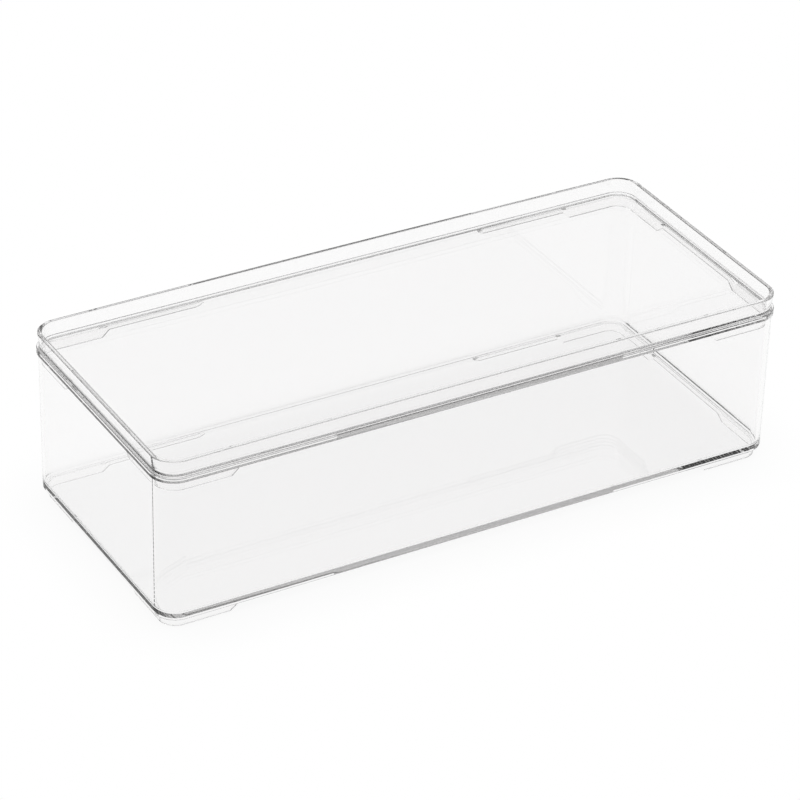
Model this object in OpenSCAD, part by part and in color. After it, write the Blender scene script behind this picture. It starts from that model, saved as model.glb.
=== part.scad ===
// Clear storage box with a lift-off lid.
// Two mouldings: a deep base that stands on a broken ring of feet, and a flat lid
// whose raised rim takes the feet of the next box when boxes are stacked.
// Millimetres, +Z up. The origin is on the surface that the box stands on, under its centre.
// Front and back are the long sides, and the front faces -Y.

/* [Overall] */
// Length over the lid's flange, left to right
length = 305; // [200:1:420]
// Width over the lid's flange, front to back
width = 129; // [95:1:260]
// Outside radius of the flange's upright corners
corner_r = 11.5; // [9:0.5:16]

/* [Base] */
// Height of the base from the underside of its floor to the top of its walls
base_h = 68.6; // [30:0.1:160]
// Thickness of the walls
wall_t = 2; // [1.6:0.1:2.6]
// Thickness of the floor
floor_t = 2.3; // [1.6:0.1:3.5]
// How far the top of the walls stands in from the flange's edge
wall_set_in = 0.8; // [0.4:0.1:1.2]
// How much further in the walls stand at their foot, so that the moulding leaves its mould
wall_draft = 0.3; // [0:0.05:0.6]
// Radius of the outside edge between wall and floor
outer_edge_r = 1.2; // [0.5:0.1:2.4]
// Radius of the inside edge between wall and floor
inner_edge_r = 2; // [0.5:0.1:3]

/* [Feet] */
// Depth of the feet at the corners, below the floor
foot_deep = 4.2; // [2.5:0.1:6]
// Depth of the low ribs between the corner feet, below the floor
foot_low = 1.5; // [0.8:0.1:2.4]
// Thickness of the feet, across the ring
foot_t = 1.6; // [1.2:0.1:2.2]
// Gap between the feet and the recess of a lid that they stand in
stack_gap = 0.3; // [0.1:0.05:0.5]

/* [Lid] */
// Thickness of the lid's plate and of its flange
plate_t = 2.8; // [2:0.1:3.6]
// Height of the rim above the plate
rim_h = 7.7; // [6.5:0.1:11]
// Gap between the plate and the top of the walls that it rests on
seat_gap = 0.1; // [0:0.05:0.3]
// Thickness of the rim
rim_t = 2.1; // [1.6:0.1:2.5]
// How far the rim's top edge stands in from the flange's edge
rim_set_in = 0.5; // [0.3:0.1:1.2]
// How much further in the foot of the rim stands than its top
rim_flare = 0.8; // [0:0.05:0.9]
// Radius of the inside edge between rim and plate
recess_edge_r = 0.6; // [0.2:0.1:1]
// Radius of the flange's upper edge
shoulder_r = 0.5; // [0.2:0.1:0.8]

/* [Locating ring] */
// Depth of the lid's locating ring at the corners, below the plate
ring_deep = 5; // [3:0.1:8]
// Depth of the low ribs between the corners, below the plate
ring_low = 1.7; // [0.8:0.1:2.6]
// Thickness of the ring, across it
ring_t = 1.6; // [1.2:0.1:2.2]
// Gap between the ring and the inside of the base's walls
ring_gap = 0.3; // [0.1:0.05:0.6]

/* [Layout of the ribs] */
// Length of a corner's deep part along a long side, from the flange's end
deep_long = 33.5; // [24:0.5:36]
// Length of a corner's deep part along a short side, from the flange's side
deep_short = 33.5; // [20:0.5:34]
// Length of the ribs along a long side, deep and low together, from the flange's end
rib_long = 79; // [50:0.5:85]

/* [Hidden] */

// Segments of an upright corner and of a small rounded edge
$fn = 96;
edge_steps = 5;

// Levels, from the surface that the box stands on
floor_under_z = foot_deep;
floor_top_z = floor_under_z + floor_t;
wall_top_z = floor_under_z + base_h;
plate_under_z = wall_top_z + seat_gap;
plate_top_z = plate_under_z + plate_t;
rim_top_z = plate_top_z + rim_h;

// Insets, all measured level from the flange's edge
wall_out_top = wall_set_in;
wall_out_foot = wall_set_in + wall_draft;
wall_in_top = wall_out_top + wall_t;
wall_in_foot = wall_out_foot + wall_t;
rim_out_foot = rim_set_in + rim_flare;
rim_in_top = rim_set_in + rim_t;
rim_in_foot = rim_out_foot + rim_t;
ring_out = wall_in_top + ring_gap;
foot_out = rim_in_foot + stack_gap;

// Half lengths of the straight stretches between the corners
straight_x = length / 2 - corner_r;
straight_y = width / 2 - corner_r;

// Points of an arc in a section, from angle a0 to angle a1
function arc(inset, z, r, a0, a1) =
    [for (i = [0 : edge_steps])
        let (a = a0 + (a1 - a0) * i / edge_steps)
        [inset + r * cos(a), z + r * sin(a)]];

// Sections are lists of [inset from the flange's edge, height].
// Their inner end is at corner_r, the axis of the upright corners.

// Section of the base: floor and wall
function base_section() = concat(
    [[corner_r, floor_under_z]],
    [[corner_r, floor_top_z]],
    arc(wall_in_foot + inner_edge_r, floor_top_z + inner_edge_r, inner_edge_r, 270, 180),
    [[wall_in_top, wall_top_z]],
    [[wall_out_top, wall_top_z]],
    arc(wall_out_foot + outer_edge_r, floor_under_z + outer_edge_r, outer_edge_r, 180, 270));

// Section of the lid: plate, flange and rim
function lid_section() = concat(
    [[corner_r, plate_under_z]],
    [[corner_r, plate_top_z]],
    arc(rim_in_foot + recess_edge_r, plate_top_z + recess_edge_r, recess_edge_r, 270, 180),
    [[rim_in_top, rim_top_z]],
    [[rim_set_in, rim_top_z]],
    [[rim_out_foot, plate_top_z]],
    arc(shoulder_r, plate_top_z - shoulder_r, shoulder_r, 90, 180),
    [[0, plate_under_z]]);

// Section of a plain ring, from its root to its lowest edge
function ring_section(inset, thick, root_z, low_z) = [
    [inset, root_z],
    [inset + thick, root_z],
    [inset + thick, low_z],
    [inset, low_z]];

// A section as a flat shape, drawn outwards from the axis of a corner
module outward(section) {
    polygon([for (p = section) [corner_r - p[0], p[1]]]);
}

// One straight stretch of a section, along X, facing -Y
module straight_run(section, half_length) {
    translate([-half_length, 0, 0])
        rotate([90, 0, 90])
            mirror([1, 0, 0])
                linear_extrude(height = 2 * half_length)
                    outward(section);
}

// A section carried round the box: four straight stretches and four corners
module carried_round(section) {
    for (side = [0, 180]) {
        rotate([0, 0, side])
            translate([0, -straight_y, 0])
                straight_run(section, straight_x);
        rotate([0, 0, side + 90])
            translate([0, -straight_x, 0])
                straight_run(section, straight_y);
    }
    for (sx = [-1, 1], sy = [-1, 1]) {
        start = sx > 0 ? (sy > 0 ? 0 : 270) : (sy > 0 ? 90 : 180);
        translate([sx * straight_x, sy * straight_y, 0])
            rotate([0, 0, start])
                rotate_extrude(angle = 90)
                    outward(section);
    }
}

// The flat middle that the four straight stretches stand round
module middle(low_z, high_z) {
    translate([-straight_x, -straight_y, low_z])
        cube([2 * straight_x, 2 * straight_y, high_z - low_z]);
}

// What is cut from a ring along one pair of sides.
// deep_at and low_at are how far from the centre the deep part and the low rib start.
// Every step slopes at 45 degrees. A low rib that starts at 0 runs on past the centre.
module step_cut(deep_at, low_at, root_z, deep, low, reach) {
    below = deep + 1;
    slope = deep - low;
    step = [[deep_at - slope, -low], [deep_at, -deep], [deep_at, -below], [0, -below]];
    start = low_at > 0 ? [[0, 0], [low_at - low, 0], [low_at, -low]] : [[0, -low]];
    half = concat(start, step);
    for (side = [0, 1])
        mirror([side, 0, 0])
            translate([0, reach, root_z])
                rotate([90, 0, 0])
                    linear_extrude(height = 2 * reach)
                        polygon(half);
}

// A ring of ribs under a plate: deep round the corners, low between them,
// and open in the middle of the long sides
module stepped_ring(inset, thick, root_z, deep, low) {
    difference() {
        carried_round(ring_section(inset, thick, root_z, root_z - deep));
        step_cut(length / 2 - deep_long, length / 2 - rib_long, root_z, deep, low, width);
        rotate([0, 0, 90])
            step_cut(width / 2 - deep_short, 0, root_z, deep, low, length);
    }
}

// The deep box with its feet
module base() {
    color([0.93, 0.95, 0.96, 0.45]) {
        carried_round(base_section());
        middle(floor_under_z, floor_top_z);
        stepped_ring(foot_out, foot_t, floor_under_z, foot_deep, foot_low);
    }
}

// The lift-off lid with its raised rim and its locating ring
module lid() {
    color([0.96, 0.97, 0.98, 0.45]) {
        carried_round(lid_section());
        middle(plate_under_z, plate_top_z);
        stepped_ring(ring_out, ring_t, plate_under_z, ring_deep, ring_low);
    }
}

base();
lid();
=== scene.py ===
# %% [markdown]
# # A clear storage box with a lift-off lid
#
# The real box is two mouldings of crystal clear plastic: a deep base on four corner
# feet, and a lid with a raised rim. Nothing on it is coloured, so all that the eye sees
# is how its edges bend the light of the room. This lesson builds the two mouldings
# finely enough for that, gives them a clear plastic, and stands them on a white table.
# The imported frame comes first. It says where each piece is, in metres, +Z up.

# %% The frame
import math
import bpy
import bmesh
from mathutils import Matrix, Vector


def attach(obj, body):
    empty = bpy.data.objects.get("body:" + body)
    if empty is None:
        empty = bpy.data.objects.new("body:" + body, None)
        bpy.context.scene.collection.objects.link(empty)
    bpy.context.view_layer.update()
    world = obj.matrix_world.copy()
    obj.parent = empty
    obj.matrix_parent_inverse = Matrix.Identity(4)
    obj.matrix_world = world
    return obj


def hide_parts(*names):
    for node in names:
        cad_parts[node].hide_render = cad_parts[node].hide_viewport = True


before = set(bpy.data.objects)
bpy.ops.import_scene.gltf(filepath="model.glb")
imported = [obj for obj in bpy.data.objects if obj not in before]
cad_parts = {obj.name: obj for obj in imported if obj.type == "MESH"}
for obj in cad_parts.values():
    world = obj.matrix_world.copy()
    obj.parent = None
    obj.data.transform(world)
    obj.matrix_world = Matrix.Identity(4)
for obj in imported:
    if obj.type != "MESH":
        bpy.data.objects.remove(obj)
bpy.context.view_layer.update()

scene = bpy.context.scene
MM = 0.001
print("frame:", sorted(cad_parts))

# %% [markdown]
# ## The camera
#
# The box is seen from above its front left, with a long lens: its far edges are nearly
# as long as its near ones. A camera in Blender looks along its own -Z, so its matrix is
# built from three directions, to the right, up and backwards, and from its place. The
# numbers were fitted to the edges of the rim, the flange and the walls. Angles are in
# radians and distances in millimetres. DISTANCE runs to a point in the middle of the
# box, POINT_HEIGHT above the table, and that point lies POINT_RIGHT and POINT_UP from the
# centre of the picture. The edges were read at whole pixels, whose middles lie half a
# pixel further on, so the lens is shifted by as much.

# %% The camera
VIEW_TURN = 0.530471
VIEW_TILT = 0.549367
VIEW_ROLL = 0.0281744
FOCAL_PIXELS = 3764.546
DISTANCE = 1672.991
POINT_RIGHT = 2.40331
POINT_UP = -28.8630
POINT_HEIGHT = 3.2
FRAME_PIXELS = 800
SENSOR = 36.0
HALF_PIXEL = 0.5 / FRAME_PIXELS
NEAREST, FURTHEST = 0.1, 60.0


def photo_camera():
    level = Vector((math.cos(VIEW_TURN), -math.sin(VIEW_TURN), 0.0))
    ahead = Vector((math.sin(VIEW_TURN), math.cos(VIEW_TURN), 0.0))
    forward = ahead * math.cos(VIEW_TILT) - Vector((0, 0, math.sin(VIEW_TILT)))
    upright = level.cross(forward)
    right = level * math.cos(VIEW_ROLL) + upright * math.sin(VIEW_ROLL)
    up = upright * math.cos(VIEW_ROLL) - level * math.sin(VIEW_ROLL)
    place = -DISTANCE * forward - POINT_RIGHT * right - POINT_UP * up
    place.z += POINT_HEIGHT
    lens = bpy.data.cameras.new("box_camera")
    lens.sensor_width = SENSOR
    lens.lens = FOCAL_PIXELS * SENSOR / FRAME_PIXELS
    lens.shift_x, lens.shift_y = -HALF_PIXEL, HALF_PIXEL
    lens.clip_start, lens.clip_end = NEAREST, FURTHEST
    camera = bpy.data.objects.new("box_camera", lens)
    turned = Matrix((right, up, -forward)).transposed().to_4x4()
    camera.matrix_world = Matrix.Translation(place * MM) @ turned
    scene.collection.objects.link(camera)
    scene.camera = camera
    print("camera at", [round(v * MM, 3) for v in place], "lens", round(lens.lens, 1), "mm")


photo_camera()

# %% [markdown]
# ## The sizes of the two mouldings
#
# Both mouldings are one section carried round the same rounded rectangle. A section's
# points are measured level from the edge of the lid's flange, which is the widest part,
# and from the table. So one short list of sizes, in millimetres, describes everything.

# %% Sizes
LENGTH, WIDTH, CORNER = 305.0, 129.0, 11.5
HALF_X, HALF_Y = LENGTH / 2 - CORNER, WIDTH / 2 - CORNER
MIDDLE = CORNER - 0.5
FLOOR_UNDER, FLOOR_TOP = 4.2, 6.5
WALL_TOP, PLATE_UNDER, PLATE_TOP = 72.8, 72.9, 75.7
FLANGE_TOP = PLATE_TOP - 0.1
RIM_TOP_CORNER, RIM_TOP_MIDDLE = 82.9, 83.4
WALL_IN, WALL_DRAFT, WALL_THICK = 0.8, 0.3, 2.0
RIM_IN, RIM_FLARE, RIM_THICK = 0.5, 0.8, 2.1
RING_IN, FOOT_IN, RIB_THICK = 3.1, 3.7, 1.6
FOOT_DEEP, FOOT_LOW = 0.0, 2.7
RING_DEEP, RING_LOW = 67.9, 71.2
RIB_START, RIB_FULL, STEP_LOW, STEP_DEEP = 70.0, 73.5, 115.5, 119.0
SIDE_LOW, SIDE_DEEP = 27.0, 31.0
print("outer size", LENGTH, "x", WIDTH, "x", RIM_TOP_MIDDLE, "mm")

# %% [markdown]
# ## Rounding a section
#
# No moulding has a knife edge, and in clear plastic each rounded edge is a small lens
# that draws a fine line. A bevel modifier would round every edge alike, but here each
# has its own radius. So a section is written as corners, each with an inset, a height
# and a radius, and a small helper replaces every corner by points of an arc.

# %% A rounded section
FLOOR_FILLET, FLOOR_EDGE = 2.0, 1.3
WALL_LIP_INSIDE, WALL_LIP_OUTSIDE = 0.3, 0.25
RECESS_FILLET, RIM_LIP = 0.6, 0.5
RIM_FILLET, FLANGE_SHOULDER, FLANGE_UNDER = 0.25, 0.5, 0.15


def rounded(corners, steps=6):
    points = []
    for k, (inset, height, radius) in enumerate(corners):
        here = Vector((inset, height))
        if radius <= 0:
            points.append(here)
            continue
        before = (Vector(corners[k - 1][:2]) - here).normalized()
        after = (Vector(corners[(k + 1) % len(corners)][:2]) - here).normalized()
        half = before.angle(after) / 2
        start = here + before * (radius / math.tan(half))
        end = here + after * (radius / math.tan(half))
        centre = here + (before + after).normalized() * (radius / math.sin(half))
        first = math.atan2(start.y - centre.y, start.x - centre.x)
        last = math.atan2(end.y - centre.y, end.x - centre.x)
        sweep = (last - first + math.pi) % (2 * math.pi) - math.pi
        for i in range(steps + 1):
            turn = first + sweep * i / steps
            points.append(centre + radius * Vector((math.cos(turn), math.sin(turn))))
    return points


def base_section():
    foot = WALL_IN + WALL_DRAFT
    return rounded([
        (MIDDLE, FLOOR_TOP, 0),
        (foot + WALL_THICK, FLOOR_TOP, FLOOR_FILLET),
        (WALL_IN + WALL_THICK, WALL_TOP, WALL_LIP_INSIDE),
        (WALL_IN, WALL_TOP, WALL_LIP_OUTSIDE),
        (foot, FLOOR_UNDER, FLOOR_EDGE),
        (MIDDLE, FLOOR_UNDER, 0)])


def lid_section():
    foot = RIM_IN + RIM_FLARE
    return rounded([
        (MIDDLE, PLATE_TOP, 0),
        (foot + RIM_THICK, PLATE_TOP, RECESS_FILLET),
        (RIM_IN + RIM_THICK, RIM_TOP_CORNER, RIM_LIP),
        (RIM_IN, RIM_TOP_CORNER, RIM_LIP),
        (foot, FLANGE_TOP, RIM_FILLET),
        (0.0, FLANGE_TOP, FLANGE_SHOULDER),
        (0.0, PLATE_UNDER, FLANGE_UNDER),
        (MIDDLE, PLATE_UNDER, 0)])


print("section points: base", len(base_section()), "lid", len(lid_section()))

# %% [markdown]
# ## Carrying a section round the box
#
# The path is four straight sides and four quarter circles about fixed centres, so every
# inset keeps the corners concentric, as on the real moulding. A curve object with a bevel
# could do this too, but it can't close the floor. Here bmesh joins one loop of points to
# the next, and closes the first and last loops with a flat face each. The straight sides
# get a station about every 12 mm as well, so that the rim can bow.

# %% The path
CORNER_STEPS = 24
SIDE_SPACING = 12.0


def stations():
    corners = []
    for sx, sy, start in ((1, -1, -90), (1, 1, 0), (-1, 1, 90), (-1, -1, 180)):
        for i in range(CORNER_STEPS + 1):
            turn = math.radians(start + 90 * i / CORNER_STEPS)
            way = Vector((math.cos(turn), math.sin(turn)))
            corners.append((Vector((sx * HALF_X, sy * HALF_Y)), way))
    path = []
    for k, (centre, way) in enumerate(corners):
        path.append((centre, way))
        onward = corners[(k + 1) % len(corners)][0]
        count = int((onward - centre).length / SIDE_SPACING)
        path += [(centre.lerp(onward, i / count), way) for i in range(1, count)]
    return path


print("path of", len(stations()), "stations")

# %% The sweep
def new_piece(name, bm):
    bmesh.ops.recalc_face_normals(bm, faces=bm.faces)
    mesh = bpy.data.meshes.new(name)
    bm.to_mesh(mesh)
    bm.free()
    piece = bpy.data.objects.new(name, mesh)
    scene.collection.objects.link(piece)
    return piece


def bridge(bm, one, two):
    for k in range(len(one)):
        n = (k + 1) % len(one)
        bm.faces.new((one[k], one[n], two[n], two[k]))


def carried_round(name, section, bow=None):
    bm = bmesh.new()
    loops = []
    for inset, height in section:
        loop = []
        for centre, way in stations():
            spot = centre + way * (CORNER - inset)
            rise = bow(spot, height) if bow else 0.0
            loop.append(bm.verts.new((spot.x * MM, spot.y * MM, (height + rise) * MM)))
        loops.append(loop)
    for one, two in zip(loops, loops[1:]):
        bridge(bm, one, two)
    bm.faces.new(loops[0])
    bm.faces.new(loops[-1])
    return new_piece(name, bm)


print("faces in a base sweep:", (len(base_section()) - 1) * len(stations()) + 2)

# %% [markdown]
# ## The feet and the locating ring
#
# Under the floor of the base, and under the plate of the lid, runs the same broken rib:
# deep round each corner, low between, and left out in the middle of the long sides. Each
# half is a C. Its section is set down at stations along the C, and only its lowest edge
# changes height from one station to the next, so the slopes come by themselves. At its
# free ends the rib comes out of the plate in a quarter wave, not in a square step.

# %% The height of a rib along its way
END_STEPS = 8
END_STUB = 0.3
END_START = RIB_START + 0.02


def ramp_between(value, start, end):
    return min(max((value - start) / (end - start), 0), 1)


def long_side_height(x, root, low, deep):
    if x < RIB_FULL:
        share = (x - RIB_START) / (RIB_FULL - RIB_START)
        stub = root - END_STUB
        return stub + (low - stub) * math.sin(share * math.pi / 2)
    return low + (deep - low) * ramp_between(x, STEP_LOW, STEP_DEEP)


def short_side_height(y, low, deep):
    return low + (deep - low) * ramp_between(abs(y), SIDE_LOW, SIDE_DEEP)


def rib_stations(root, low, deep):
    wave = (RIB_FULL - RIB_START) / END_STEPS
    along_x = [END_START] + [RIB_START + wave * i for i in range(1, END_STEPS + 1)]
    along_x += [STEP_LOW, STEP_DEEP, HALF_X]
    half = [(Vector((x, HALF_Y)), Vector((0, 1)), long_side_height(x, root, low, deep))
            for x in along_x]
    for i in range(1, CORNER_STEPS):
        turn = math.radians(90 - 90 * i / CORNER_STEPS)
        way = Vector((math.cos(turn), math.sin(turn)))
        half.append((Vector((HALF_X, HALF_Y)), way, deep))
    half += [(Vector((HALF_X, y)), Vector((1, 0)), short_side_height(y, low, deep))
             for y in (HALF_Y, SIDE_DEEP, SIDE_LOW)]
    front = [(Vector((c.x, -c.y)), Vector((w.x, -w.y)), z) for c, w, z in reversed(half)]
    return half + front


print("rib stations:", len(rib_stations(FLOOR_UNDER, FOOT_LOW, FOOT_DEEP)))

# %% One half of a stepped rib
RIB_EDGE = 0.35
LEAST_EDGE = 0.02
EDGE_SHARE = 0.45
ROOTED = 0.5
EDGE_TURNS = (0.39, 0.785, 1.18)


def rib_section(inset, root, lowest):
    edge = min(RIB_EDGE, max((root - lowest) * EDGE_SHARE, LEAST_EDGE))
    outer = [(inset, root + ROOTED), (inset, lowest + edge)]
    outer += [(inset + edge - edge * math.cos(t), lowest + edge - edge * math.sin(t))
              for t in EDGE_TURNS]
    outer.append((inset + edge, lowest))
    across = 2 * inset + RIB_THICK
    return outer + [(across - p, z) for p, z in reversed(outer)]


def stepped_rib(name, side, inset, root, low, deep):
    bm = bmesh.new()
    rings = []
    for centre, way, lowest in rib_stations(root, low, deep):
        ring = []
        for p, z in rib_section(inset, root, lowest):
            spot = centre + way * (CORNER - p)
            ring.append(bm.verts.new((side * spot.x * MM, spot.y * MM, z * MM)))
        rings.append(ring)
    for one, two in zip(rings, rings[1:]):
        bridge(bm, one, two)
    bm.faces.new(rings[0])
    bm.faces.new(rings[-1])
    return new_piece(name, bm)


print("rib section points:", len(rib_section(FOOT_IN, FLOOR_UNDER, FOOT_DEEP)))

# %% [markdown]
# ## One moulding from its pieces
#
# The ribs are moulded in one with the plate, so light must not meet a wall between them.
# Two overlapping meshes would show one, because glass is shaded at every face. A Boolean
# union removes it. Then the faces are smoothed, the corners that should stay crisp are
# marked by their angle, and weighted normals keep the wide flat faces truly flat.

# %% The union and its shading
CRISP = math.radians(32)
LARGEST_WEIGHT = 100


def moulded(piece, ribs):
    for rib in ribs:
        joined = piece.modifiers.new("joined", "BOOLEAN")
        joined.operation = "UNION"
        joined.solver = "MANIFOLD"
        joined.object = rib
    graph = bpy.context.evaluated_depsgraph_get()
    mesh = bpy.data.meshes.new_from_object(piece.evaluated_get(graph))
    mesh.name = piece.name
    piece.modifiers.clear()
    piece.data = mesh
    for rib in ribs:
        bpy.data.objects.remove(rib)
    for face in mesh.polygons:
        face.use_smooth = True
    mesh.set_sharp_from_angle(angle=CRISP)
    flat = piece.modifiers.new("flat faces stay flat", "WEIGHTED_NORMAL")
    flat.keep_sharp = True
    flat.weight = LARGEST_WEIGHT
    size = [round(v / MM, 2) for v in piece.dimensions]
    print(piece.name, "faces", len(mesh.polygons), "size mm", size)


print("edges sharper than", round(math.degrees(CRISP)), "degrees stay crisp")

# %% [markdown]
# ## The base
#
# The walls lean in a little towards the floor, so that the moulding leaves its mould.
# The inside of the floor meets them in a wide fillet, which shows as a soft bright band.

# %% The base
base = carried_round("clear_base", base_section())
feet = [stepped_rib("foot", side, FOOT_IN, FLOOR_UNDER, FOOT_LOW, FOOT_DEEP)
        for side in (1, -1)]
moulded(base, feet)

# %% [markdown]
# ## The lid
#
# The rim leans out and stands on the plate a little way in from the flange. Its long
# sides bow up by half a millimetre towards the middle, as a moulding does when it cools.

# %% The lid
RIM_FOOT = PLATE_TOP + 0.8


def rim_bow(spot, height):
    share = max(0.0, (height - RIM_FOOT) / (RIM_TOP_CORNER - RIM_FOOT))
    along = min(abs(spot.x) / HALF_X, 1.0)
    return (RIM_TOP_MIDDLE - RIM_TOP_CORNER) * share * (1 - along ** 2)


lid = carried_round("clear_lid", lid_section(), rim_bow)
ring = [stepped_rib("ring", side, RING_IN, PLATE_UNDER, RING_LOW, RING_DEEP)
        for side in (1, -1)]
moulded(lid, ring)

# %% [markdown]
# ## Small helpers for materials
#
# Every finish here is a little network of nodes. One helper adds a node with its
# settings and socket values, and one links an output to an input. A third makes the
# node that turns a number into a smooth step, which the table and the room both need.

# %% Node helpers
def add_node(tree, kind, sockets=(), **settings):
    made = tree.nodes.new(kind)
    for name, setting in settings.items():
        setattr(made, name, setting)
    for socket, value in sockets:
        made.inputs[socket].default_value = value
    return made


def wire(tree, source, output, target, socket):
    tree.links.new(source.outputs[output], target.inputs[socket])


def smooth_step(tree, start, end, low, high):
    return add_node(tree, "ShaderNodeMapRange", (
        ("From Min", start), ("From Max", end), ("To Min", low), ("To Max", high)),
        interpolation_type="SMOOTHSTEP")


def grey(level):
    return (level, level, level, 1.0)


print("node helpers:", ", ".join(f.__name__ for f in (add_node, wire, smooth_step, grey)))

# %% [markdown]
# ## Clear plastic
#
# Acrylic and clear polystyrene bend light about as glass does (an index near 1.5), take
# a high polish, and are very slightly grey where you look through a long way of it.
# The Principled shader's transmission does this. A faint waviness of the surface, as a
# mould leaves it, keeps the reflections from looking computed. Rays that only ask whether
# a lamp is hidden pass straight through, so the box throws the light shadow that clear
# plastic does, and not the black one that a solid block would. A thin absorption in the
# plastic's body greys only the light that runs a long way inside the floor or the lid,
# which is what draws the grey lines along their edges.

# %% The plastic
CLEAR_INDEX = 1.5
WAVE_SCALE, WAVE_DETAIL, WAVE_DEPTH, WAVE_STRENGTH = 18.0, 1.0, 0.0004, 0.02
SHADOW_CLEARNESS = 0.93
BODY_GREY = (0.06, 0.05, 0.05, 1.0)
BODY_DENSITY = 5.0


def clear_plastic(name, colour):
    made = bpy.data.materials.new(name)
    made.use_nodes = True
    tree = made.node_tree
    plastic, result = tree.nodes["Principled BSDF"], tree.nodes["Material Output"]
    plastic.inputs["Base Color"].default_value = colour
    plastic.inputs["Roughness"].default_value = 0.0
    plastic.inputs["IOR"].default_value = CLEAR_INDEX
    plastic.inputs["Transmission Weight"].default_value = 1.0
    where = add_node(tree, "ShaderNodeTexCoord")
    wave = add_node(tree, "ShaderNodeTexNoise",
                    (("Scale", WAVE_SCALE), ("Detail", WAVE_DETAIL)))
    bump = add_node(tree, "ShaderNodeBump",
                    (("Strength", WAVE_STRENGTH), ("Distance", WAVE_DEPTH)))
    wire(tree, where, "Object", wave, "Vector")
    wire(tree, wave, "Fac", bump, "Height")
    wire(tree, bump, "Normal", plastic, "Normal")
    path = add_node(tree, "ShaderNodeLightPath")
    through = add_node(tree, "ShaderNodeBsdfTransparent",
                       (("Color", grey(SHADOW_CLEARNESS)),))
    either = add_node(tree, "ShaderNodeMixShader")
    wire(tree, path, "Is Shadow Ray", either, "Fac")
    wire(tree, plastic, "BSDF", either, 1)
    wire(tree, through, "BSDF", either, 2)
    wire(tree, either, "Shader", result, "Surface")
    body = add_node(tree, "ShaderNodeVolumeAbsorption",
                    (("Color", BODY_GREY), ("Density", BODY_DENSITY)))
    wire(tree, body, "Volume", result, "Volume")
    return made


print("index of the plastic", CLEAR_INDEX)

# %% [markdown]
# ## Dressing the two pieces
#
# Each moulding rides on the body of its CAD node and shows in place of that node's part,
# which is hidden. The lid's plastic is a trace clearer than the base's.

# %% The pieces and their plastic
BASE_CLEAR = (0.990, 0.988, 0.988, 1.0)
LID_CLEAR = (0.992, 0.990, 0.990, 1.0)
for piece, node, colour in ((base, "base", BASE_CLEAR), (lid, "lid", LID_CLEAR)):
    piece.data.materials.clear()
    piece.data.materials.append(clear_plastic("clear_" + node + "_plastic", colour))
    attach(piece, node)
    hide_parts(node)
    print(piece.name, "wears", piece.data.materials[0].name)

# %% [markdown]
# ## The white table
#
# A white sweep is the usual ground for clear things, and a wide plane stands in for it.
# To the eye the table glows plain white, with a painted shadow under the box and close
# to it, which a soft ambient occlusion gives. Rays that come off or through the plastic
# see that white too, but only round the box, as a painted pool of light like a studio's.
# What the plastic bends in from further off is dim, and those dim slivers draw its ribs.

# %% The table
TABLE_RADIUS, TABLE_SIDES, BELOW_FEET = 6.0, 96, 0.0002
PAINT_GREY, PAINT_ROUGHNESS = 0.86, 0.6
SHADE_REACH, SHADE_SAMPLES, DARKEST_SHADE = 0.03, 8, 0.93
LIT_RADIUS, DIM_RADIUS, DIM_TABLE = 0.50, 1.00, 0.15


# Painted light: the table glows white, with a painted shadow from ambient occlusion near
# the box, and for rays off the plastic a painted pool of light that dims past LIT_RADIUS.
def table_glow(tree, path):
    shade = add_node(tree, "ShaderNodeAmbientOcclusion",
                     (("Distance", SHADE_REACH),), samples=SHADE_SAMPLES)
    soft = add_node(tree, "ShaderNodeMapRange",
                    (("To Min", DARKEST_SHADE), ("To Max", 1.0)))
    spot = add_node(tree, "ShaderNodeTexCoord")
    away = add_node(tree, "ShaderNodeVectorMath", operation="LENGTH")
    fade = smooth_step(tree, LIT_RADIUS, DIM_RADIUS, 1.0, DIM_TABLE)
    lit = add_node(tree, "ShaderNodeMath", operation="MAXIMUM")
    glow = add_node(tree, "ShaderNodeEmission")
    wire(tree, shade, "AO", soft, "Value")
    wire(tree, soft, "Result", glow, "Color")
    wire(tree, spot, "Object", away, 0)
    wire(tree, away, "Value", fade, "Value")
    wire(tree, fade, "Result", lit, 0)
    wire(tree, path, "Is Camera Ray", lit, 1)
    wire(tree, lit, 0, glow, "Strength")
    return glow


# The table's own white paint for diffuse rays; camera, glossy and transmission rays see the
# painted glow instead, with its painted shadow and painted pool of light.
def table_paint_and_painted_light():
    made = bpy.data.materials.new("white_table_paint_and_painted_light")
    made.use_nodes = True
    tree = made.node_tree
    paint = tree.nodes["Principled BSDF"]
    paint.inputs["Base Color"].default_value = grey(PAINT_GREY)
    paint.inputs["Roughness"].default_value = PAINT_ROUGHNESS
    path = add_node(tree, "ShaderNodeLightPath")
    seen = add_node(tree, "ShaderNodeMath", operation="ADD")
    shown = add_node(tree, "ShaderNodeMath", operation="ADD", use_clamp=True)
    either = add_node(tree, "ShaderNodeMixShader")
    wire(tree, path, "Is Camera Ray", seen, 0)
    wire(tree, path, "Is Glossy Ray", seen, 1)
    wire(tree, seen, 0, shown, 0)
    wire(tree, path, "Is Transmission Ray", shown, 1)
    wire(tree, shown, 0, either, "Fac")
    wire(tree, paint, "BSDF", either, 1)
    wire(tree, table_glow(tree, path), "Emission", either, 2)
    wire(tree, either, "Shader", tree.nodes["Material Output"], "Surface")
    return made


def white_table():
    bm = bmesh.new()
    bmesh.ops.create_circle(bm, cap_ends=True, segments=TABLE_SIDES, radius=TABLE_RADIUS)
    table = new_piece("white_table", bm)
    table.data.materials.append(table_paint_and_painted_light())
    table.location.z = -BELOW_FEET
    print("table radius", round(table.dimensions.x / 2, 2), "m")


white_table()

# %% [markdown]
# ## The room
#
# Clear plastic shows only what is round it. Behind the box, the white sweep rises out of
# the table and fills that side of the room. Overhead hangs a broad soft light. The other
# sides of the room are dim, and the plastic's curved edges catch them as grey lines.
# The camera itself sees white wherever it looks past the table. ROOM gives the wall's
# grey from straight down, at 0, to straight up, at 1, and SWEEP_SIDE points to the sweep.

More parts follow.
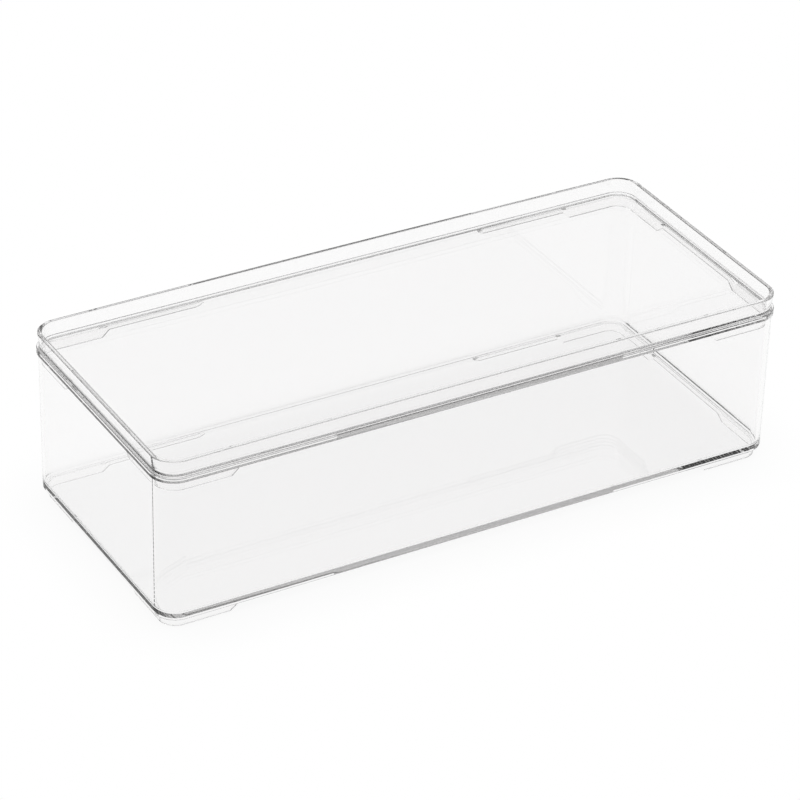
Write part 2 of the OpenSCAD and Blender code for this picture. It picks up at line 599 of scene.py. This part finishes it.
# %% The room
ROOM = ((0.0, 1.0), (0.55, 1.0), (0.57, 0.9), (0.8, 0.9), (0.9, 1.0), (1.0, 1.0))
SWEEP_SIDE = (0.506, 0.863, 0.0)
SWEEP_EDGE, SWEEP_FULL, DIM_ROOM = 0.3, 0.8, 0.30
OVERHEAD_EDGE, OVERHEAD_FULL = 0.85, 0.95


def room_greys(tree, split):
    spread = add_node(tree, "ShaderNodeMapRange", (("From Min", -1.0),))
    ramp = add_node(tree, "ShaderNodeValToRGB")
    points = ramp.color_ramp.elements
    while len(points) > 1:
        points.remove(points[0])
    points[0].position, points[0].color = ROOM[0][0], grey(ROOM[0][1])
    for spot, level in ROOM[1:]:
        points.new(spot).color = grey(level)
    wire(tree, split, "Z", spread, "Value")
    wire(tree, spread, "Result", ramp, "Fac")
    return ramp


def room_light():
    room = bpy.data.worlds.new("white_room")
    scene.world = room
    room.use_nodes = True
    tree = room.node_tree
    glow = tree.nodes["Background"]
    where = add_node(tree, "ShaderNodeTexCoord")
    split = add_node(tree, "ShaderNodeSeparateXYZ")
    towards = add_node(tree, "ShaderNodeVectorMath", ((1, SWEEP_SIDE),),
                       operation="DOT_PRODUCT")
    side = smooth_step(tree, SWEEP_EDGE, SWEEP_FULL, DIM_ROOM, 1.0)
    overhead = smooth_step(tree, OVERHEAD_EDGE, OVERHEAD_FULL, 0.0, 1.0)
    brighter = add_node(tree, "ShaderNodeMath", operation="MAXIMUM")
    shown = add_node(tree, "ShaderNodeMath", operation="MAXIMUM")
    path = add_node(tree, "ShaderNodeLightPath")
    wire(tree, where, "Generated", split, "Vector")
    wire(tree, where, "Generated", towards, 0)
    wire(tree, room_greys(tree, split), "Color", glow, "Color")
    wire(tree, towards, "Value", side, "Value")
    wire(tree, split, "Z", overhead, "Value")
    wire(tree, side, "Result", brighter, 0)
    wire(tree, overhead, "Result", brighter, 1)
    wire(tree, brighter, 0, shown, 0)
    wire(tree, path, "Is Camera Ray", shown, 1)
    wire(tree, shown, 0, glow, "Strength")
    print("room:", room.name, "with", len(tree.nodes), "nodes")


room_light()

# %% [markdown]
# ## A soft key light
#
# One large lamp above the back left gives the rim its small highlights. It is wide and
# weak, as a diffuser in front of a lamp is, so no highlight clips hard.

# %% The lamp
KEY_POWER, KEY_SIZE = 6.0, 1.2
KEY_PLACE, KEY_AIM = (-0.9, 0.9, 1.8), (0, 0, 0.04)
light = bpy.data.lights.new("soft_key", "AREA")
light.shape = "DISK"
light.size = KEY_SIZE
light.energy = KEY_POWER
key = bpy.data.objects.new("soft_key", light)
key.location = KEY_PLACE
key.rotation_euler = (Vector(KEY_AIM) - key.location).to_track_quat("-Z", "Y").to_euler()
scene.collection.objects.link(key)
print("lamp", light.energy, "W, size", round(light.size, 2), "m")

# %% [markdown]
# ## Last steps
#
# The picture is shown without a film look, so white stays white. Light that enters the
# edge of the floor or of the lid turns back and forth dozens of times before it leaves,
# so the paths are long: with the usual dozen, those edges would go black.

# %% Finish
LONG_PATH, CLEAR_PATH = 72, 32
scene.view_settings.view_transform = "Standard"
scene.cycles.max_bounces = LONG_PATH
scene.cycles.transmission_bounces = LONG_PATH
scene.cycles.glossy_bounces = LONG_PATH
scene.cycles.transparent_max_bounces = CLEAR_PATH
